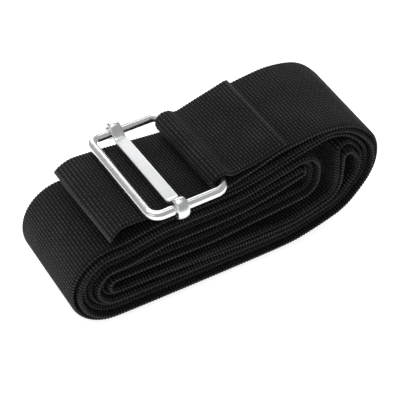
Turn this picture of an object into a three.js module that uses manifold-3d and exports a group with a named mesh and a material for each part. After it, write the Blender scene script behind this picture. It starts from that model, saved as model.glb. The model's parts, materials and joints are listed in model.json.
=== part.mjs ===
// A 50 mm webbing weight belt, folded double and rolled flat, with a wire slide buckle hung in a
// loop at one end. Millimetres, +Z up, X along the roll, Y across the webbing. The origin is on the
// surface that the roll lies on, under its middle.
//
// The belt is one flat strip, so its solid is one side profile carried 50 mm across Y. The profile
// follows a centre line of straight runs and round corners: every corner is { x, z, r }.

import * as THREE from 'three';
import { mergeVertices } from 'three/addons/utils/BufferGeometryUtils.js';
import Module from 'manifold-3d';

// ---- driving dimensions ----------------------------------------------------------------------

// Webbing
const WEB_WIDTH = 50;
const WEB_THICKNESS = 2.3;
const LAYER_GAP = 0.4;            // air between two layers that lie on each other

// Roll of webbing, outer surface
const ROLL_LEFT = -76.5;          // leftmost point of the roll
const LAYERS = 7;                 // layers above and below the slot in the left end
const END_SLOT = 3.6;             // open height of that slot
const FLAT_END = 34;              // the underside is flat from the left end to here
const SHOULDER_RISE = 21.2;       // the right end stands this much higher than the left

// Hairpin that stands up inside the right end, and the inner fold beside it
const HAIRPIN_LEFT = 53.4;
const HAIRPIN_SPACE = 6.85;       // open width between its legs and the layers to their right
const HAIRPIN_FOOT = 8;           // bend radius where it leaves the underside
const HAIRPIN_RISE = 6.2;         // top of the hairpin above the left end
const HAIRPIN_STEP = 4.4;         // from the outer strip's top down to the inner strip's
const INNER_FOLD_RIGHT = 43.3;
const INNER_FOLD_RISE = 5;        // the slot's upper wall climbs this much towards the fold
const MIDDLE_FOLD_REACH = 36.5;

// Free ends
const FLAP_END = -58.7;
const TAB_END = 25.8;
const TAB_GAP = 0.8;              // between the tab's cut end and the webbing under it

// Wire buckle
const WIRE = 4.2;                 // wire diameter
const BUCKLE_WIDTH = 34.7;        // between the centres of the two long bars
const WEB_SIDE_CLEARANCE = 1.5;   // between the webbing's edge and each short bar
const BUCKLE_CORNER = 5;          // corner radius of the wire's centre line
const LOOP_CLEARANCE = 0.55;      // between the wire and the webbing loop round it
const REST_CLEARANCE = 0.35;      // between the buckle and the flap under it
const LOOP_ABOVE_FLAP = 1.2;      // between the webbing loop and the flap under it
const HINGE_BAR_X = -5.55;

// Sliding bar, bent from strip
const STRIP = 1.6;
const SLIDE_BODY_WIDTH = 6.6;
const SLIDE_TONGUE_WIDTH = 5.2;
const SLIDE_CLEARANCE = 0.35;     // between the strip's curls and the wire
const SLIDE_FROM_MIDDLE = -4.9;   // where the bar sits, from the middle of the buckle
const SLIDE_DROP = 0.4;           // the flat of the bar lies this much below the wire's centre
const SLIDE_BEND = 4.2;           // from the curl's inner side to where the strip starts to rise
const CURL_START = 150;           // degrees round the wire, from its outermost point, inner side
const CURL_END = -75;             // degrees below the outermost point where the curl stops
const CURL_STEP = 15;             // degrees between two lines of the faceted curl
const TONGUE_START = 1.2;         // from the curl's inner side to the shoulder of the tongue
const TONGUE_TAPER = 1;           // length of the taper from the body down to the tongue

const HALF = WEB_THICKNESS / 2;
const PITCH = WEB_THICKNESS + LAYER_GAP;
const LEFT_HEIGHT = 2 * LAYERS * PITCH - LAYER_GAP + END_SLOT;
const ROLL_RIGHT = HAIRPIN_LEFT + HALF + HAIRPIN_SPACE + 6 * PITCH - LAYER_GAP;
const WIRE_RADIUS = WIRE / 2;
const BUCKLE_LENGTH = WEB_WIDTH + 2 * WEB_SIDE_CLEARANCE + WIRE;

// ---- routes of straight runs and round corners ---------------------------------------------------

const corner = (x, z, r = 0) => ({ x, z, r });

// Where the line a-b meets the line c-d, rounded with radius r.
function meet(a, b, c, d, r) {
  const across = (b.x - a.x) * (d.z - c.z) - (b.z - a.z) * (d.x - c.x);
  const along = ((c.x - a.x) * (d.z - c.z) - (c.z - a.z) * (d.x - c.x)) / across;
  return corner(a.x + along * (b.x - a.x), a.z + along * (b.z - a.z), r);
}

// The parallel route at a distance to the right of the direction of travel.
function beside(route, distance) {
  const edges = route.slice(1).map((end, i) => {
    const start = route[i];
    const length = Math.hypot(end.x - start.x, end.z - start.z);
    const dx = (end.x - start.x) / length;
    const dz = (end.z - start.z) / length;
    const shift = (p) => corner(p.x + dz * distance, p.z - dx * distance);
    return { dx, dz, start: shift(start), end: shift(end) };
  });
  return route.map((point, i) => {
    if (i === 0) return { ...edges[0].start, r: point.r - distance };
    if (i === route.length - 1) return edges.at(-1).end;
    const before = edges[i - 1];
    const after = edges[i];
    const turnsRight = before.dx * after.dz - before.dz * after.dx < 0;
    const radius = point.r + (turnsRight ? -distance : distance);
    return meet(before.start, before.end, after.start, after.end, radius);
  });
}

// Points along a route with the left-hand normal at each: two for a run, a fan for a corner.
function samples(route) {
  const found = [];
  const add = (x, z, angle) => found.push({ x, z, nx: -Math.sin(angle), nz: Math.cos(angle) });
  const heading = (a, b) => Math.atan2(b.z - a.z, b.x - a.x);
  add(route[0].x, route[0].z, heading(route[0], route[1]));
  for (let i = 1; i < route.length - 1; i += 1) {
    const here = route[i];
    const into = heading(route[i - 1], here);
    const out = heading(here, route[i + 1]);
    const turn = Math.atan2(Math.sin(out - into), Math.cos(out - into));
    const side = Math.sign(turn);
    const back = here.r * Math.tan(Math.abs(turn) / 2);
    const startX = here.x - back * Math.cos(into);
    const startZ = here.z - back * Math.sin(into);
    const centreX = startX - side * here.r * Math.sin(into);
    const centreZ = startZ + side * here.r * Math.cos(into);
    const steps = Math.max(2, Math.ceil(Math.abs(turn) / (Math.PI / 15)));
    for (let s = 0; s <= steps; s += 1) {
      const angle = into + (turn * s) / steps;
      add(centreX + side * here.r * Math.sin(angle), centreZ - side * here.r * Math.cos(angle), angle);
    }
  }
  add(route.at(-1).x, route.at(-1).z, heading(route.at(-2), route.at(-1)));
  return found;
}

// ---- the belt's centre line ------------------------------------------------------------------------

// Outer surface of the roll, clockwise from the top of the right end: down round the right end,
// along the underside, round the left end and up over the stacked layers.
const ROLL = [
  corner(ROLL_RIGHT - 33, LEFT_HEIGHT + SHOULDER_RISE, 40),
  corner(ROLL_RIGHT - 15, LEFT_HEIGHT + SHOULDER_RISE - 4.3, 28),
  corner(ROLL_RIGHT - 1, LEFT_HEIGHT + 2, 21),
  corner(ROLL_RIGHT, 26, 22),
  corner(ROLL_RIGHT - 15, 8.2, 30),
  corner(FLAT_END, 0, 60),
  corner(ROLL_LEFT, 0, LEFT_HEIGHT / 2),
  corner(ROLL_LEFT, LEFT_HEIGHT, LEFT_HEIGHT / 2),
  corner(ROLL_LEFT + LEFT_HEIGHT / 2 + 4, LEFT_HEIGHT, 30),
  corner(-34, LEFT_HEIGHT + 3.4, 50),
  corner(-6, LEFT_HEIGHT + 3.9, 80),
  corner(6, LEFT_HEIGHT + 4.9, 60),
  corner(24, LEFT_HEIGHT + 9.1),
];
const RIGHT_TOP = 0;
const RIGHT_SHOULDER = 1;
const RIGHT_UPPER = 2;
const RIGHT_LOWER = 3;
const UNDER_RISE = 4;
const UNDER_FLAT = 5;
const LEFT_LOWER = 6;
const LEFT_UPPER = 7;
const RAMP = 8;
const STACK_LEFT = 9;
const STACK_RIGHT = 11;
const STACK_SLOPE = 12;

// Layer 1 is outermost. Layer 0 is the flap, which lies on the stack.
const layer = (number) => beside(ROLL, HALF + (number - 1) * PITCH);
const L = [0, 1, 2, 3, 4, 5, 6, 7].map(layer);
const backwards = (route) => [...route].reverse();

// Height of a route at a given x, along its straight pieces.
function heightAt(route, x) {
  const i = route.findIndex((point, k) => k > 0 && (point.x - x) * (route[k - 1].x - x) <= 0);
  const [a, b] = [route[i - 1], route[i]];
  return a.z + ((x - a.x) / (b.x - a.x)) * (b.z - a.z);
}

// Free end: from the right end back over the stack, under the buckle and out past it.
const ontoShoulder = (upper, lower) => meet(
  upper[STACK_RIGHT], upper[STACK_SLOPE], lower[RIGHT_TOP], lower[RIGHT_SHOULDER], 15,
);
const flap = [
  ontoShoulder(L[0], L[2]),
  L[0][STACK_RIGHT],
  corner(-6, L[0][STACK_RIGHT].z - 0.75, 60),
  corner(-17, L[0][STACK_RIGHT].z + 0.1, 60),
  corner(-38, L[0][STACK_RIGHT].z + 1.95, 60),
  corner(-50, L[0][STACK_RIGHT].z + 2.45, 30),
  corner(FLAP_END, L[0][STACK_RIGHT].z + 1.45),
];

// Looped end: over the buckle's hinge bar, round it, and under it to the top of the right end.
const loopRadius = WIRE_RADIUS + LOOP_CLEARANCE + HALF;
const loopLeft = HINGE_BAR_X - loopRadius;
const hingeBarZ = heightAt(flap, HINGE_BAR_X) + WEB_THICKNESS + LOOP_ABOVE_FLAP + loopRadius;
const underTab = [
  corner(loopLeft, hingeBarZ - loopRadius, loopRadius),
  corner(-1.5, hingeBarZ - loopRadius, 12),
  corner(22, LEFT_HEIGHT + 18.3, 30),
  L[1][RIGHT_TOP],
];
const tabEnd = heightAt(underTab, TAB_END) + WEB_THICKNESS + TAB_GAP;
const tab = [
  corner(TAB_END, tabEnd),
  corner(-0.5, hingeBarZ + 1.6, 4),
  corner(-3.5, hingeBarZ + loopRadius, 3),
  corner(loopLeft, hingeBarZ + loopRadius, loopRadius),
  ...underTab.slice(0, -1),
];

// From the top of the right end once round the roll, back over the inner fold, and round again.
const firstTurn = L[1].slice(RIGHT_TOP, STACK_RIGHT + 1);
const secondTurn = [ontoShoulder(L[1], L[3]), ...L[3].slice(RIGHT_SHOULDER, STACK_RIGHT + 1)];

// Inner fold: the lowest two layers over the middle gap turn up and back over the middle fold.
const foldSide = [corner(INNER_FOLD_RIGHT, 0), corner(INNER_FOLD_RIGHT, 1)];
const slotTop = L[7][LEFT_UPPER].z;
const slotRoof = [
  corner(-10, slotTop, 60),
  corner(INNER_FOLD_RIGHT, slotTop + INNER_FOLD_RISE, 8.5),
];
const innerFoldOuter = [
  L[7][LEFT_UPPER],
  ...slotRoof,
  meet(...foldSide, L[2][STACK_RIGHT], L[2][STACK_SLOPE], 8.5),
  L[2][STACK_RIGHT],
];
const innerFoldInner = beside(innerFoldOuter, -PITCH);

// Hairpin: the top two layers of the underside stand up and turn over into the right end.
function hairpin(underside, rightEnd, left, foot, top, radius) {
  const side = [corner(left, 0), corner(left, 1)];
  const roof = [corner(0, top), corner(1, top)];
  return [
    underside[UNDER_FLAT],
    meet(underside[UNDER_FLAT], underside[UNDER_RISE], ...side, foot),
    corner(left, top, radius),
    meet(...roof, rightEnd[RIGHT_UPPER], rightEnd[RIGHT_SHOULDER], 1.2 * radius),
    rightEnd[RIGHT_UPPER],
    rightEnd[RIGHT_LOWER],
  ];
}
const hairpinTop = LEFT_HEIGHT + HAIRPIN_RISE;
const hairpinOuter = hairpin(L[7], L[4], HAIRPIN_LEFT, HAIRPIN_FOOT, hairpinTop, 2.9);
const hairpinInner = hairpin(
  L[6], L[5], HAIRPIN_LEFT + PITCH, HAIRPIN_FOOT + PITCH, hairpinTop - HAIRPIN_STEP, 1.9,
);

// Middle fold: the belt's own middle, doubled back on itself between the layers of the stack.
function middleFold() {
  const slope = Math.atan2(
    L[5][STACK_SLOPE].z - L[5][STACK_RIGHT].z,
    L[5][STACK_SLOPE].x - L[5][STACK_RIGHT].x,
  );
  const lowerX = MIDDLE_FOLD_REACH;
  const lowerZ = L[5][STACK_RIGHT].z + (lowerX - L[5][STACK_RIGHT].x) * Math.tan(slope);
  return [
    corner(lowerX, lowerZ, PITCH / 2),
    corner(lowerX - PITCH * Math.sin(slope), lowerZ + PITCH * Math.cos(slope), PITCH / 2),
  ];
}

const beltRoute = [
  ...tab,
  ...firstTurn,
  ...secondTurn,
  ...backwards(innerFoldInner.slice(1, -1)),
  ...backwards(L[6].slice(UNDER_FLAT, LEFT_UPPER + 1)),
  ...hairpinInner.slice(1, -1),
  ...L[5].slice(RIGHT_LOWER, STACK_RIGHT + 1),
  ...middleFold(),
  ...backwards(L[4].slice(RIGHT_LOWER, STACK_RIGHT + 1)),
  ...backwards(hairpinOuter.slice(1, -1)),
  ...L[7].slice(UNDER_FLAT, LEFT_UPPER + 1),
  ...innerFoldOuter.slice(1, -1),
  ...backwards(L[2].slice(RIGHT_SHOULDER, STACK_RIGHT + 1)),
  ...flap,
];

// ---- pieces ----------------------------------------------------------------------------------------

const finish = (color, roughness, metalness) =>
  new THREE.MeshStandardMaterial({ color, roughness, metalness });
const WEBBING = finish(0x242424, 0.85, 0);
const WIRE_CHROME = finish(0xd9dcdf, 0.12, 1);
const STRIP_CHROME = finish(0xcfd2d4, 0.2, 1);

// An outline in X and Z, carried along Y about the middle plane.
function acrossBelt(points, width) {
  const shape = new THREE.Shape(points.map(({ x, z }) => new THREE.Vector2(x, z)));
  const geometry = new THREE.ExtrudeGeometry(shape, { depth: width, bevelEnabled: false });
  return geometry.rotateX(Math.PI / 2).translate(0, width / 2, 0);
}

function webbingStrap() {
  const line = samples(beltRoute);
  const side = (sign) => line.map(({ x, z, nx, nz }) => (
    { x: x + sign * HALF * nx, z: z + sign * HALF * nz }
  ));
  return acrossBelt([...side(1), ...backwards(side(-1))], WEB_WIDTH);
}

// The ring of wire, in its own flat frame: hinge bar along Y at x = 0, the other bars towards -X.
class RingPath extends THREE.Curve {
  constructor(width, length, radius) {
    super();
    const path = new THREE.Path();
    const y = length / 2;
    path.moveTo(0, 0);
    path.lineTo(0, y - radius);
    path.absarc(-radius, y - radius, radius, 0, Math.PI / 2, false);
    path.lineTo(radius - width, y);
    path.absarc(radius - width, y - radius, radius, Math.PI / 2, Math.PI, false);
    path.lineTo(-width, radius - y);
    path.absarc(radius - width, radius - y, radius, Math.PI, 1.5 * Math.PI, false);
    path.lineTo(-radius, -y);
    path.absarc(-radius, radius - y, radius, -Math.PI / 2, 0, false);
    path.lineTo(0, 0);
    this.path = path;
  }

  getPoint(t, target = new THREE.Vector3()) {
    const point = this.path.getPointAt(t % 1);
    return target.set(point.x, point.y, 0);
  }
}

function buckleFrame() {
  const section = new THREE.Shape();
  section.absarc(0, 0, WIRE_RADIUS, 0, 2 * Math.PI, false);
  return new THREE.ExtrudeGeometry(section, {
    extrudePath: new RingPath(BUCKLE_WIDTH, BUCKLE_LENGTH, BUCKLE_CORNER),
    steps: 96,
    curveSegments: 8,
    bevelEnabled: false,
  });
}

const wasm = await Module();
wasm.setup();

function toSolid(geometry) {
  const bare = geometry.clone();
  bare.deleteAttribute('normal');
  bare.deleteAttribute('uv');
  const merged = mergeVertices(bare, 1e-4);
  return new wasm.Manifold(new wasm.Mesh({
    numProp: 3,
    vertProperties: new Float32Array(merged.attributes.position.array),
    triVerts: new Uint32Array(merged.index.array),
  }));
}

function toGeometry(solid) {
  const mesh = solid.getMesh();
  const geometry = new THREE.BufferGeometry();
  geometry.setAttribute('position', new THREE.BufferAttribute(mesh.vertProperties, 3));
  geometry.setIndex(new THREE.BufferAttribute(mesh.triVerts, 1));
  return geometry;
}

// Strip bar: flat between the short bars, stepped up at each end and curled over the wire. The
// bent strip is cut to its plan outline, which narrows from the body to the tongues.
function slideBar() {
  const curl = WIRE_RADIUS + SLIDE_CLEARANCE + STRIP / 2;
  const wireY = BUCKLE_LENGTH / 2;
  const right = [
    { y: wireY - curl - SLIDE_BEND, z: -SLIDE_DROP, nx: 0, nz: 1 },
    { y: wireY - curl - SLIDE_BEND / 2, z: -SLIDE_DROP, nx: -0.35, nz: 0.94 },
  ];
  for (let degrees = CURL_START; degrees >= CURL_END; degrees -= CURL_STEP) {
    const nx = Math.cos(THREE.MathUtils.degToRad(degrees));
    const nz = Math.sin(THREE.MathUtils.degToRad(degrees));
    right.push({ y: wireY + curl * nx, z: curl * nz, nx, nz });
  }
  const half = (sign) => right.map(({ y, z, nx, nz }) => (
    { x: y + (sign * STRIP * nx) / 2, z: z + (sign * STRIP * nz) / 2 }
  ));
  const mirrored = (points) => points.map(({ x, z }) => ({ x: -x, z }));
  const outer = half(1);
  const inner = half(-1);
  const outline = [
    ...backwards(mirrored(outer)), ...outer, ...backwards(inner), ...mirrored(inner),
  ];
  const bent = acrossBelt(outline, SLIDE_BODY_WIDTH).rotateZ(Math.PI / 2);

  const plan = new THREE.Shape();
  const tongueEnd = wireY + curl + STRIP;
  const shoulder = wireY - curl - TONGUE_START;
  const bodyEnd = shoulder - TONGUE_TAPER;
  const body = SLIDE_BODY_WIDTH / 2 + 0.01;  // just clear of the strip's own edges
  const tongue = SLIDE_TONGUE_WIDTH / 2;
  plan.moveTo(-body, -bodyEnd);
  plan.lineTo(-tongue, -shoulder);
  plan.lineTo(-tongue, -tongueEnd);
  plan.lineTo(tongue, -tongueEnd);
  plan.lineTo(tongue, -shoulder);
  plan.lineTo(body, -bodyEnd);
  plan.lineTo(body, bodyEnd);
  plan.lineTo(tongue, shoulder);
  plan.lineTo(tongue, tongueEnd);
  plan.lineTo(-tongue, tongueEnd);
  plan.lineTo(-tongue, shoulder);
  plan.lineTo(-body, bodyEnd);
  plan.closePath();
  const tall = 4 * curl;
  const cutter = new THREE.ExtrudeGeometry(plan, { depth: tall, bevelEnabled: false });
  cutter.translate(0, 0, -tall / 2);
  return toGeometry(toSolid(bent).intersect(toSolid(cutter)));
}

// ---- assembly --------------------------------------------------------------------------------------

function piece(name, geometry, material) {
  const mesh = new THREE.Mesh(geometry, material);
  mesh.name = name;
  return mesh;
}

// The far long bar rests on the flap, so the buckle lies at a slight slope.
const flapUnderBar = heightAt(flap, HINGE_BAR_X - BUCKLE_WIDTH);
const restingBarZ = flapUnderBar + HALF + REST_CLEARANCE + WIRE_RADIUS;
const buckleSlope = Math.asin((hingeBarZ - restingBarZ) / BUCKLE_WIDTH);

const slide = piece('slide_bar', slideBar(), STRIP_CHROME);
slide.position.x = SLIDE_FROM_MIDDLE - BUCKLE_WIDTH / 2;

const buckle = new THREE.Group();
buckle.add(piece('buckle_frame', buckleFrame(), WIRE_CHROME), slide);
buckle.position.set(HINGE_BAR_X, 0, hingeBarZ);
buckle.rotation.y = -buckleSlope;

const belt = new THREE.Group();
belt.add(piece('webbing_strap', webbingStrap(), WEBBING), buckle);

export default belt;
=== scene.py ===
import json
import math

import bmesh
import bpy
from mathutils import Matrix, Vector


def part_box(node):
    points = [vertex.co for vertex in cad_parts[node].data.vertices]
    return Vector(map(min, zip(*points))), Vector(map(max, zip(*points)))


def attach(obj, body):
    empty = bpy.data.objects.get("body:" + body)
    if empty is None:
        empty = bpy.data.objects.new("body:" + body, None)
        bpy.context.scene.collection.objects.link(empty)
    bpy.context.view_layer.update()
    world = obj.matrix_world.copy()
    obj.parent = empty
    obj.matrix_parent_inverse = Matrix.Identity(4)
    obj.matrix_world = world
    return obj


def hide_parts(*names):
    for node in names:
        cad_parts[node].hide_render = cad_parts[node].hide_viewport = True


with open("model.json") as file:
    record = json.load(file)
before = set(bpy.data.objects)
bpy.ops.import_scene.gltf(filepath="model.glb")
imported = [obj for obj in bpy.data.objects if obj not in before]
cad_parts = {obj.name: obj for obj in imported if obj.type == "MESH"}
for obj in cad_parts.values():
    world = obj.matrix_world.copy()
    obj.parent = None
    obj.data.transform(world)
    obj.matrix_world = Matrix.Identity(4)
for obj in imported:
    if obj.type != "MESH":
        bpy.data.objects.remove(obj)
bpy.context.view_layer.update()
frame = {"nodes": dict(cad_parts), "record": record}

# A rolled weight belt: heavy woven webbing with a wire slide buckle. Metres, the frame of the CAD
# model. The strap follows the CAD strap's own side profile; the buckle's wire and its sliding bar
# are made round the CAD frame's hinge and corners.

MM = 0.001

# ---- sizes -----------------------------------------------------------------------------------

# Webbing
THICKNESS = 2.3 * MM
RIB_PITCH = 1.45 * MM             # from one weft thread to the next, along the strap
RINGS_PER_RIB = 4                 # sections of the mesh in each rib
RIB_HEIGHT = 0.30 * MM            # crown of a rib over the groove beside it, on each face
SELVAGE_KNOB = 0.40 * MM          # how far a weft turn stands out at the woven edge
WARP_PITCH = 1.8 * MM             # from one warp thread to the next, across the strap
EDGE_RUN = 1.1 * MM               # width of the rounded woven edge
EDGE_SHOULDER = 0.25 * MM         # how far the edge has rounded back at SHOULDER_HEIGHT
SHOULDER_HEIGHT = 0.62            # share of the half thickness
EDGE_SLANT = 0.28                 # lead of the weft turn at the top of the edge, in ribs
LAYER_SHIFT = 1.1 * MM            # how far one half of the strap lies beside the other
SEALED_BAND = 1.2 * MM            # smooth melted band at each cut end
SEALED_THIN = 0.78                # thickness left at the cut itself, as a share
BULGE_NEAR = (0.8 * MM, 0.8 * MM) # how far the tall end swells out and up on the near side
BULGE_FAR = (3.6 * MM, 2.8 * MM)  # and on the far side, where the roll is looser
BULGE_FROM = (12 * MM, 12 * MM)   # along and up, where the swelling starts
BULGE_OVER = (50 * MM, 34 * MM)   # along and up, the distance that it builds up over
FLAP_DROOP = 3.0 * MM             # how far the flap's end hangs
CORNER_DROOP = 2.2 * MM           # how much further its near corner hangs
CORNER_TRIM = 1.5 * MM            # how far that worn corner is pulled back
DROOP_RUN = 9 * MM                # length of the flap that hangs
TAB_LEAN = (-1.3 * MM, 0.5 * MM)  # how far the tab lies low on its near side, high on its far
TAB_RUN = 70 * MM                 # strap, from the end at the buckle, that leans in full
LEAN_FROM = -2 * MM               # along the roll, where the lean starts, beside the buckle's loop
LEAN_OVER = 16 * MM               # and the distance that it builds up over

# Slide buckle
WIRE_SIDES = 40
CORNER_STEPS = 14
CORNER_RADIUS = 5.0 * MM          # of the wire's centre line
STRIP = 1.6 * MM                  # thickness of the sliding strip
BODY_WIDTH = 5.9 * MM             # the strip between the short bars
TONGUE_WIDTH = 5.5 * MM           # the strip where it curls over the wire
BODY_DROP = -0.4 * MM             # the strip's body from the middle of the wire
NECK_TO_CURL = 2.6 * MM           # from the neck of the strip to the curl's inner side
NECK_TAPER = (1.4 * MM, 0.7 * MM) # from the neck back to the full body, and to mid-taper
CURL_CROWN = 0.8 * MM             # how much the curled tongues are domed outwards
CURL_FROM, CURL_TO = 145, -75     # degrees round the wire, over the top, from its outermost point
CURL_STEP = 10                    # degrees between sections of the curl
CROWN_OVER = 50                   # degrees that the doming builds up over
STRIP_SIDES = 40

# Studio
FLOOR_SIZE = 6.0
FLOOR_GLOW = 0.80                 # a white table lit from below, so shadows stay faint
WORLD_LIGHT = 0.40
LIGHTS = (
    ("overhead", (-0.1, 0.25, 1.1), (0.9, 0.9), 2.8),
    ("left", (-1.0, -0.35, 0.7), (0.8, 0.6), 0.9),
    ("back", (0.35, 1.0, 0.6), (0.9, 0.5), 2.2),
)
VIEW_TARGET = (-0.0050, -0.0059, 0.0300)
VIEW_AZIMUTH = -30.48
VIEW_ELEVATION = 41.35
VIEW_DISTANCE = 0.5073
FOCAL_LENGTH = 104.95

# Stations along the strap, from the end at the buckle, as shares of its length, where the strap
# passes from the layers that lie back to the layers that stand out, and how far each stretch is
# shifted across (in layer shifts; + is away from the near side).
ACROSS_STATIONS = (
    (0.000, 0.0), (0.030, 0.0), (0.080, 1.0), (0.395, 1.0), (0.425, -1.0), (0.560, -1.0),
    (0.590, 1.0), (0.690, 1.0), (0.700, -1.0), (0.930, -1.0), (0.965, 0.8), (1.000, 0.8),
)


# ---- materials ---------------------------------------------------------------------------------

def srgb(code):
    """A linear RGBA colour from an sRGB hex value."""
    channels = [int(code[i:i + 2], 16) / 255 for i in (1, 3, 5)]
    linear = [c / 12.92 if c <= 0.04045 else ((c + 0.055) / 1.055) ** 2.4 for c in channels]
    return (*linear, 1.0)


def node(tree, kind, settings=None, **inputs):
    """Adds a node. settings are its properties; each input is a value or another node's output."""
    made = tree.nodes.new(kind)
    for name, value in (settings or {}).items():
        setattr(made, name, value)
    for name, value in inputs.items():
        key = int(name[1:]) if name[1:].isdigit() else name.replace("_", " ")
        if isinstance(value, bpy.types.NodeSocket):
            tree.links.new(value, made.inputs[key])
        else:
            made.inputs[key].default_value = value
    return made


def new_material(name):
    material = bpy.data.materials.new(name)
    material.use_nodes = True
    shader = material.node_tree.nodes["Principled BSDF"]
    return material, material.node_tree, shader


def woven_webbing():
    """Spun polypropylene webbing, warp-faced plain weave: matt black threads with a soft sheen.

    The mesh carries the weft ribs; this adds the warp threads that pass over and under them, their
    fibres, and painted shade: the colour is darker in the hollows between threads and lighter on
    their crowns. The UV map is in millimetres: across, then along the strap.
    """
    material, tree, shader = new_material("woven_polypropylene_webbing")
    uv = node(tree, "ShaderNodeUVMap", {"uv_map": "thread"}).outputs["UV"]
    parts = node(tree, "ShaderNodeSeparateXYZ", _0=uv)
    across, along = parts.outputs["X"], parts.outputs["Y"]

    def math_node(operation, *values):
        numbered = {f"_{i}": value for i, value in enumerate(values)}
        return node(tree, "ShaderNodeMath", {"operation": operation}, **numbered).outputs[0]

    rib_phase = math_node("MULTIPLY", along, math.pi * MM / RIB_PITCH)
    warp_phase = math_node("MULTIPLY", across, math.pi * MM / WARP_PITCH)
    checker = math_node(
        "MULTIPLY", math_node("COSINE", rib_phase), math_node("COSINE", warp_phase),
    )
    column = math_node("COSINE", math_node("MULTIPLY", warp_phase, 2.0))
    over = math_node(
        "MULTIPLY_ADD", checker, 0.15, math_node("MULTIPLY_ADD", column, 0.35, 0.5),
    )
    rib_wave = math_node("COSINE", math_node("MULTIPLY", rib_phase, 2.0))
    rib = math_node("MULTIPLY_ADD", rib_wave, 0.5, 0.5)

    fibre = node(
        tree, "ShaderNodeTexNoise", {"noise_dimensions": "2D"},
        Vector=node(
            tree, "ShaderNodeMapping", Vector=uv, Scale=(9.0, 2.2, 1.0),
        ).outputs[0],
        Scale=1.0, Detail=3.0, Roughness=0.6,
    ).outputs["Fac"]
    handling = node(
        tree, "ShaderNodeTexNoise", {"noise_dimensions": "2D"}, Vector=uv,
        Scale=0.06, Detail=3.0, Roughness=0.55,
    ).outputs["Fac"]

    # Painted shade and highlight: the colour follows the thread relief, dark in the hollows and light
    # on the crowns. The handling noise adds a random tone over it.
    crown = math_node("MULTIPLY", math_node("MULTIPLY_ADD", over, 0.75, 0.25), rib)
    relief = math_node("MULTIPLY_ADD", fibre, 0.4, crown)
    tone_and_painted_shade = math_node("MULTIPLY_ADD", math_node("SUBTRACT", handling, 0.5), 0.5, relief)
    # The ramp runs from the painted shade of the hollows (#020202) to the painted highlight of the
    # crowns (#464647).
    ramp = node(tree, "ShaderNodeValToRGB", Fac=tone_and_painted_shade)
    ramp.color_ramp.elements[0].position = 0.5
    ramp.color_ramp.elements[0].color = srgb("#020202")
    ramp.color_ramp.elements[1].position = 1.0
    ramp.color_ramp.elements[1].color = srgb("#464647")
    bump = node(
        tree, "ShaderNodeBump", Strength=1.0, Distance=0.5 * MM, Height=relief,
    ).outputs["Normal"]
    tree.links.new(ramp.outputs["Color"], shader.inputs["Base Color"])
    tree.links.new(bump, shader.inputs["Normal"])
    shader.inputs["Roughness"].default_value = 0.62
    shader.inputs["Specular IOR Level"].default_value = 0.22
    shader.inputs["Sheen Weight"].default_value = 0.04
    shader.inputs["Sheen Roughness"].default_value = 0.45
    return material


def melted_end():
    """The same polypropylene where the cut end was melted: smooth, slightly glossy, lumpy."""
    material, tree, shader = new_material("heat_sealed_polypropylene")
    place = node(tree, "ShaderNodeTexCoord").outputs["Object"]
    lumps = node(
        tree, "ShaderNodeTexNoise", Vector=place, Scale=1 / (1.6 * MM), Detail=2.0,
    ).outputs["Fac"]
    bump = node(
        tree, "ShaderNodeBump", Strength=0.5, Distance=0.2 * MM, Height=lumps,
    ).outputs["Normal"]
    tree.links.new(bump, shader.inputs["Normal"])
    shader.inputs["Base Color"].default_value = srgb("#161617")
    shader.inputs["Roughness"].default_value = 0.42
    shader.inputs["Specular IOR Level"].default_value = 0.45
    return material


def nickel_plate(name, tint, roughness, grain):
    """Bright nickel plate on drawn steel: near-white mirror with faint drawing marks and handling
    scuffs, which show as small changes of gloss."""
    material, tree, shader = new_material(name)
    place = node(tree, "ShaderNodeTexCoord").outputs["Object"]
    stretched = node(tree, "ShaderNodeMapping", Vector=place, Scale=grain).outputs[0]
    marks = node(
        tree, "ShaderNodeTexNoise", Vector=stretched, Scale=1.0, Detail=4.0, Roughness=0.6,
    ).outputs["Fac"]
    gloss = node(
        tree, "ShaderNodeMapRange", Value=marks, From_Min=0.3, From_Max=0.75,
        To_Min=roughness * 0.75, To_Max=roughness * 1.5,
    ).outputs["Result"]
    bump = node(
        tree, "ShaderNodeBump", Strength=0.05, Distance=0.02 * MM, Height=marks,
    ).outputs["Normal"]
    tree.links.new(gloss, shader.inputs["Roughness"])
    tree.links.new(bump, shader.inputs["Normal"])
    shader.inputs["Base Color"].default_value = srgb(tint)
    shader.inputs["Metallic"].default_value = 1.0
    return material


# ---- the strap -----------------------------------------------------------------------------------

def smooth_step(value):
    value = min(max(value, 0.0), 1.0)
    return value * value * (3 - 2 * value)


def side_outline(name):
    """The closed outline of a CAD node's side face, in order, as (x, z) vectors."""
    bm = bmesh.new()
    bm.from_mesh(frame["nodes"][name].data)
    bmesh.ops.remove_doubles(bm, verts=bm.verts, dist=1e-6)
    bm.normal_update()
    low_y = min(vert.co.y for vert in bm.verts)

    def on_side(face):
        return all(vert.co.y < low_y + 1e-6 for vert in face.verts)

    rim = [e for e in bm.edges if sorted(on_side(f) for f in e.link_faces) == [False, True]]
    neighbours = {}
    for edge in rim:
        a, b = edge.verts
        neighbours.setdefault(a, []).append(b)
        neighbours.setdefault(b, []).append(a)
    first = max(neighbours, key=lambda vert: vert.co.z)
    walked = [first, neighbours[first][0]]
    while True:
        ahead = [vert for vert in neighbours[walked[-1]] if vert is not walked[-2]][0]
        if ahead is first:
            break
        walked.append(ahead)
    outline = [Vector((vert.co.x, vert.co.z)) for vert in walked]
    bm.free()
    return outline


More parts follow.
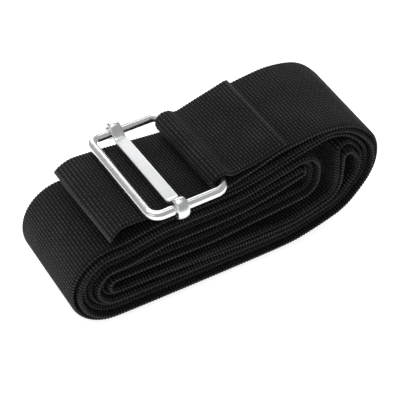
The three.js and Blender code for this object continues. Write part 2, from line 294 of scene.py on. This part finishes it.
def centre_line(outline):
    """The line midway between the outline's two long sides, from the cut end at the buckle.

    The cut ends are the outline's only square corners, so they part it into its two sides.
    """
    count = len(outline)
    square = []
    for i in range(count):
        into = outline[i] - outline[i - 1]
        out = outline[(i + 1) % count] - outline[i]
        if into.angle(out) > math.radians(60):
            square.append(i)
    ends = [(a, b) for a, b in zip(square, square[1:] + square[:1]) if (b - a) % count == 1]
    (_, start), (stop, _) = ends
    side = [outline[(start + i) % count] for i in range((stop - start) % count + 1)]
    other = [outline[(start - 1 - i) % count] for i in range(len(side))]
    middle = [(a + b) / 2 for a, b in zip(side, other)]
    return middle if middle[0].x > middle[-1].x else middle[::-1]


def smooth_curve(points, step):
    """Points at an even spacing on a centripetal Catmull-Rom curve through the given ones."""
    padded = [2 * points[0] - points[1], *points, 2 * points[-1] - points[-2]]
    fine = [points[0]]
    for p0, p1, p2, p3 in zip(padded, padded[1:], padded[2:], padded[3:]):
        span = (p2 - p1).length
        t0, t1 = 0.0, math.sqrt((p1 - p0).length)
        t2 = t1 + math.sqrt(span)
        t3 = t2 + math.sqrt((p3 - p2).length)
        pieces = max(1, round(span / (step / 2)))
        for k in range(1, pieces + 1):
            t = t1 + (t2 - t1) * k / pieces
            a1 = p0.lerp(p1, (t - t0) / (t1 - t0))
            a2 = p1.lerp(p2, (t - t1) / (t2 - t1))
            a3 = p2.lerp(p3, (t - t2) / (t3 - t2))
            b1 = a1.lerp(a2, (t - t0) / (t2 - t0))
            b2 = a2.lerp(a3, (t - t1) / (t3 - t1))
            fine.append(b1.lerp(b2, (t - t1) / (t2 - t1)))
    lengths = [0.0]
    for a, b in zip(fine, fine[1:]):
        lengths.append(lengths[-1] + (b - a).length)
    rings = max(2, round(lengths[-1] / step))
    even, j = [], 0
    for i in range(rings + 1):
        target = lengths[-1] * i / rings
        while j < len(fine) - 2 and lengths[j + 1] < target:
            j += 1
        part = (target - lengths[j]) / max(lengths[j + 1] - lengths[j], 1e-9)
        even.append(fine[j].lerp(fine[j + 1], part))
    return even, lengths[-1]


def across_shift(share):
    """How far across the strap is shifted, at a share of its length."""
    for (s0, a0), (s1, a1) in zip(ACROSS_STATIONS, ACROSS_STATIONS[1:]):
        if share <= s1:
            return LAYER_SHIFT * (a0 + (a1 - a0) * smooth_step((share - s0) / (s1 - s0)))
    return LAYER_SHIFT * ACROSS_STATIONS[-1][1]


def bulge(x, y, z, width):
    """How far the roll swells at a point of its tall end: the far side is wound looser."""
    share = (
        smooth_step((x - BULGE_FROM[0]) / BULGE_OVER[0])
        * smooth_step((z - BULGE_FROM[1]) / BULGE_OVER[1])
    )
    far = min(max(0.5 + y / width, 0.0), 1.0)
    return [share * (a + (b - a) * far) for a, b in zip(BULGE_NEAR, BULGE_FAR)]


def section(half_width, half_thick, crown=0.0):
    """One cross-section, as (across, up) points: flat faces with rounded woven edges.

    The faces stand higher than half_thick by crown.
    """
    face = half_thick + crown
    flat = half_width - EDGE_RUN
    inner = half_width / 2.5
    shoulder = half_width - EDGE_SHOULDER
    rise = SHOULDER_HEIGHT * half_thick
    return [
        (-flat, face), (-inner, face), (inner, face), (flat, face),
        (shoulder, rise), (half_width, 0.0), (shoulder, -rise),
        (flat, -face), (inner, -face), (-inner, -face), (-flat, -face),
        (-shoulder, -rise), (-half_width, 0.0), (-shoulder, rise),
    ]


def webbing_strap():
    """The woven strap, a section carried along the CAD strap's centre line, ring by ring.

    Each weft rib swells the faces, and stands out at the edges as a knob. The weft slants over the
    edge, so the upper part of an edge takes its swelling from a little further along.
    """
    low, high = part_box("webbing_strap")
    middle = centre_line(side_outline("webbing_strap"))
    line, length = smooth_curve(middle, RIB_PITCH / RINGS_PER_RIB)
    last = len(line) - 1
    hang = [max(1 - length * (last - i) / last / DROOP_RUN, 0.0) ** 2 for i in range(last + 1)]
    line = [Vector((p.x, p.y - FLAP_DROOP * h)) for p, h in zip(line, hang)]
    width = high[1] - low[1]
    half_width = width / 2 - SELVAGE_KNOB
    half_thick = THICKNESS / 2 - RIB_HEIGHT

    bm = bmesh.new()
    uv = bm.loops.layers.uv.new("thread")
    mean_section = section(half_width, half_thick, RIB_HEIGHT / 2)
    sides = len(mean_section)
    around = [0.0]
    for a, b in zip(mean_section, mean_section[1:] + mean_section[:1]):
        around.append(around[-1] + math.dist(a, b))

    rings = []
    for i, point in enumerate(line):
        ahead = line[min(i + 1, last)] - line[max(i - 1, 0)]
        ahead.normalize()
        up = Vector((-ahead.y, ahead.x))
        run = length * i / last
        to_end = min(run, length - run)
        woven = smooth_step((to_end - 0.5 * SEALED_BAND) / SEALED_BAND)
        phase = 2 * math.pi * run / RIB_PITCH

        def wave(lead):
            return woven * (0.5 + 0.5 * math.cos(phase + 2 * math.pi * lead))

        thin = SEALED_THIN + (1 - SEALED_THIN) * smooth_step(to_end / SEALED_BAND)
        shift = across_shift(run / length)
        lean = smooth_step((point.x - LEAN_FROM) / LEAN_OVER) * smooth_step(2 - run / TAB_RUN)
        ring = []
        for y, h in section(half_width, half_thick):
            on_edge = abs(y) > half_width - EDGE_RUN / 2
            swell = wave(EDGE_SLANT * h / half_thick if on_edge else 0)
            if on_edge:
                y += math.copysign(SELVAGE_KNOB * swell, y)
            else:
                h += math.copysign(RIB_HEIGHT * swell, h)
            h *= thin
            near = smooth_step(0.5 - y / width) ** 2
            spot = point + up * h
            out, rise = bulge(spot.x, y, spot.y, width)
            rise -= hang[i] * CORNER_DROOP * near
            out += hang[i] * CORNER_TRIM * near
            rise += lean * (TAB_LEAN[0] + (TAB_LEAN[1] - TAB_LEAN[0]) * (0.5 + y / width))
            height = max(spot.y + rise, 0.0)  # the lowest ribs are pressed flat by the table
            ring.append(bm.verts.new((spot.x + out, y + shift, height)))
        rings.append(ring)

    for i, (ring, after) in enumerate(zip(rings, rings[1:])):
        v0, v1 = (length * j / last / MM for j in (i, i + 1))
        for k in range(sides):
            n = (k + 1) % sides
            face = bm.faces.new((ring[k], ring[n], after[n], after[k]))
            u0, u1 = around[k] / MM, around[k + 1] / MM
            for loop, place in zip(face.loops, ((u0, v0), (u1, v0), (u1, v1), (u0, v1))):
                loop[uv].uv = place
            face.material_index = int(min(v1 * MM, length - v0 * MM) < 0.8 * SEALED_BAND)
            face.smooth = True
    for ring in (rings[0], rings[-1]):
        cap = bm.faces.new(ring)
        cap.material_index = 1
    bmesh.ops.recalc_face_normals(bm, faces=bm.faces)
    strap = finished("strap_webbing", bm, [woven_webbing(), melted_end()])
    return strap, width, length


# ---- the buckle ------------------------------------------------------------------------------------

def finished(name, bm, materials):
    mesh = bpy.data.meshes.new(name)
    bm.to_mesh(mesh)
    bm.free()
    for material in materials:
        mesh.materials.append(material)
    made = bpy.data.objects.new(name, mesh)
    bpy.context.collection.objects.link(made)
    return made


def joint(name):
    return next(j for j in frame["record"]["behaviour"]["joints"] if j["name"] == name)


def buckle_place():
    """From the buckle's own flat frame (hinge bar on Y, buckle towards -X) to the row frame."""
    hinge = Vector(joint("buckle_swing")["pos_m"])
    towards_far_bar = Vector(joint("bar_slide")["axis"])
    slope = math.atan2(-towards_far_bar.z, -towards_far_bar.x)
    return Matrix.Translation(hinge) @ Matrix.Rotation(-slope, 4, "Y"), slope


def buckle_sizes(slope):
    """Wire diameter, and width and length between the wire's centre lines, from the CAD ring."""
    low, high = (Vector(corner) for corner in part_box("buckle_frame"))
    size = high - low
    width = (size.x - size.z) / (math.cos(slope) - math.sin(slope))
    wire = size.z - width * math.sin(slope)
    return wire, width, size.y - wire


def wire_ring(wire, width, length, corner):
    """A closed ring of round wire: straight runs and four quarter turns, made end to end."""
    bm = bmesh.new()
    section_turn = Matrix.Rotation(math.pi / 2, 4, "X")
    bmesh.ops.create_circle(bm, segments=WIRE_SIDES, radius=wire / 2, matrix=section_turn)
    front = list(bm.edges)

    def run(vector):
        nonlocal front
        grown = bmesh.ops.extrude_edge_only(bm, edges=front)["geom"]
        moved = [g for g in grown if isinstance(g, bmesh.types.BMVert)]
        bmesh.ops.translate(bm, vec=vector, verts=moved)
        front = [g for g in grown if isinstance(g, bmesh.types.BMEdge) and len(g.link_faces) == 1]

    def turn(centre):
        nonlocal front
        spun = bmesh.ops.spin(
            bm, geom=front, cent=centre, axis=(0, 0, 1), dvec=(0, 0, 0),
            angle=math.pi / 2, steps=CORNER_STEPS, use_merge=False,
        )["geom_last"]
        front = [g for g in spun if isinstance(g, bmesh.types.BMEdge)]

    half = length / 2
    run((0, half - corner, 0))
    turn((-corner, half - corner, 0))
    run((2 * corner - width, 0, 0))
    turn((corner - width, half - corner, 0))
    run((0, 2 * corner - length, 0))
    turn((corner - width, corner - half, 0))
    run((width - 2 * corner, 0, 0))
    turn((-corner, corner - half, 0))
    run((0, half - corner, 0))
    bmesh.ops.remove_doubles(bm, verts=bm.verts, dist=1e-6)
    bmesh.ops.recalc_face_normals(bm, faces=bm.faces)
    for face in bm.faces:
        face.smooth = True
    return bm


def rounded_section(angle, half_width, half_thick, squareness):
    """A point of a section between an ellipse (squareness 0) and a sharp-edged bar (1)."""
    power = 1 - 0.85 * squareness
    x, z = math.cos(angle), math.sin(angle)
    return (
        half_width * math.copysign(abs(x) ** power, x),
        half_thick * math.copysign(abs(z) ** power, z),
    )


def sliding_strip(wire, length, curl_outside):
    """The strip bar in the buckle's flat frame, its middle at x = 0.

    Flat between the short bars; each end necks down to a tongue that steps up, goes over the wire
    and curls in under it. The tongues are domed by the pressing that bent them.
    """
    bm = bmesh.new()
    wire_y = length / 2
    curl = curl_outside - STRIP / 2
    neck_y = wire_y - curl - NECK_TO_CURL
    # Each station: y, z, the lean of its thickness in degrees, half width, half thickness, and
    # how square its section is.
    stations = [
        (0.0, BODY_DROP, 90, BODY_WIDTH / 2, STRIP / 2, 0.9),
        (neck_y - NECK_TAPER[0], BODY_DROP, 90, BODY_WIDTH / 2, STRIP / 2, 0.9),
        (neck_y - NECK_TAPER[1], BODY_DROP, 90, BODY_WIDTH / 2, STRIP / 2, 0.85),
        (neck_y, BODY_DROP + 0.1 * MM, 92, TONGUE_WIDTH / 2, STRIP / 2, 0.7),
        (neck_y + 0.9 * MM, BODY_DROP + 0.35 * MM, 112, TONGUE_WIDTH / 2, STRIP / 2, 0.55),
    ]
    for angle in range(CURL_FROM, CURL_TO - 1, -CURL_STEP):
        turn = math.radians(angle)
        crown = CURL_CROWN * smooth_step((CURL_FROM - angle) / CROWN_OVER)
        domed = curl + crown / 2
        stations.append((
            wire_y + domed * math.cos(turn), domed * math.sin(turn), angle,
            TONGUE_WIDTH / 2, (STRIP + crown) / 2, 0.5 - 0.4 * crown / CURL_CROWN,
        ))
    rings = []
    for y, z, lean, half_width, half_thick, squareness in stations:
        ring = bmesh.ops.create_circle(bm, segments=STRIP_SIDES, radius=1)["verts"]
        out = math.radians(lean)
        for i, vert in enumerate(ring):
            around = 2 * math.pi * i / STRIP_SIDES
            x, h = rounded_section(around, half_width, half_thick, squareness)
            vert.co = (x, y + h * math.cos(out), z + h * math.sin(out))
        rings.append(list({edge for vert in ring for edge in vert.link_edges}))
    for ring, after in zip(rings, rings[1:]):
        bmesh.ops.bridge_loops(bm, edges=ring + after)
    bmesh.ops.edgeloop_fill(bm, edges=rings[-1])
    bmesh.ops.mirror(
        bm, geom=list(bm.verts) + list(bm.edges) + list(bm.faces),
        matrix=Matrix.Identity(4), merge_dist=0.01 * MM, axis="Y",
    )
    bmesh.ops.recalc_face_normals(bm, faces=bm.faces)
    for face in bm.faces:
        face.smooth = True
    return bm


def buckle():
    """The ring and its bar, in place on their bodies."""
    place, slope = buckle_place()
    wire, width, length = buckle_sizes(slope)
    ring = wire_ring(wire, width, length, CORNER_RADIUS)
    bmesh.ops.transform(ring, matrix=place, verts=ring.verts)
    bright_wire = nickel_plate(
        "bright_nickel_plated_wire", "#f4f5f6", 0.20, (260.0, 260.0, 260.0),
    )
    frame_ring = finished("buckle_ring", ring, [bright_wire])

    low, high = (Vector(corner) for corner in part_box("slide_bar"))
    middle = place.inverted() @ ((low + high) / 2)
    strip = sliding_strip(wire, length, high.y - length / 2)
    offset = Matrix.Translation((middle.x, 0, 0))
    bmesh.ops.transform(strip, matrix=place @ offset, verts=strip.verts)
    pressed = nickel_plate(
        "nickel_plated_pressed_strip", "#e6e7e8", 0.30, (200.0, 50.0, 200.0),
    )
    bar = finished("buckle_slide", strip, [pressed])
    return frame_ring, bar


# ---- floor, light and camera -------------------------------------------------------------------------

def studio():
    bm = bmesh.new()
    bmesh.ops.create_grid(bm, x_segments=1, y_segments=1, size=FLOOR_SIZE / 2)
    pale, _, shader = new_material("white_acrylic_table")
    shader.inputs["Emission Color"].default_value = srgb("#ffffff")
    shader.inputs["Emission Strength"].default_value = FLOOR_GLOW
    shader.inputs["Base Color"].default_value = srgb("#f4f4f4")
    shader.inputs["Roughness"].default_value = 0.9
    shader.inputs["Specular IOR Level"].default_value = 0.1
    floor = finished("floor", bm, [pale])

    world = bpy.data.worlds.new("soft_white_room")
    bpy.context.scene.world = world
    world.use_nodes = True
    sky = world.node_tree.nodes["Background"]
    sky.inputs["Color"].default_value = srgb("#ffffff")
    sky.inputs["Strength"].default_value = WORLD_LIGHT
    for name, spot, size, power in LIGHTS:
        lamp = bpy.data.lights.new(name, "AREA")
        lamp.shape = "RECTANGLE"
        lamp.size, lamp.size_y = size
        lamp.energy = power
        holder = bpy.data.objects.new(name, lamp)
        holder.location = spot
        holder.rotation_euler = (-Vector(spot)).to_track_quat("-Z", "Y").to_euler()
        bpy.context.collection.objects.link(holder)


def camera():
    """A long lens looking down on the belt from its near left."""
    azimuth, elevation = math.radians(VIEW_AZIMUTH), math.radians(VIEW_ELEVATION)
    back = Vector((
        math.sin(azimuth) * math.cos(elevation),
        -math.cos(azimuth) * math.cos(elevation),
        math.sin(elevation),
    ))
    lens = bpy.data.cameras.new("camera")
    lens.sensor_width = 36
    lens.lens = FOCAL_LENGTH
    lens.clip_start = 0.01
    holder = bpy.data.objects.new("camera", lens)
    holder.location = Vector(VIEW_TARGET) + back * VIEW_DISTANCE
    holder.rotation_euler = (-back).to_track_quat("-Z", "Y").to_euler()
    bpy.context.collection.objects.link(holder)
    bpy.context.scene.camera = holder


camera()
studio()

strap, strap_width, strap_length = webbing_strap()
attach(strap, "belt")
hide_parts("webbing_strap")

ring, bar = buckle()
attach(ring, "buckle")
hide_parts("buckle_frame")
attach(bar, "slider")
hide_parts("slide_bar")

bpy.context.scene.view_settings.view_transform = "Standard"
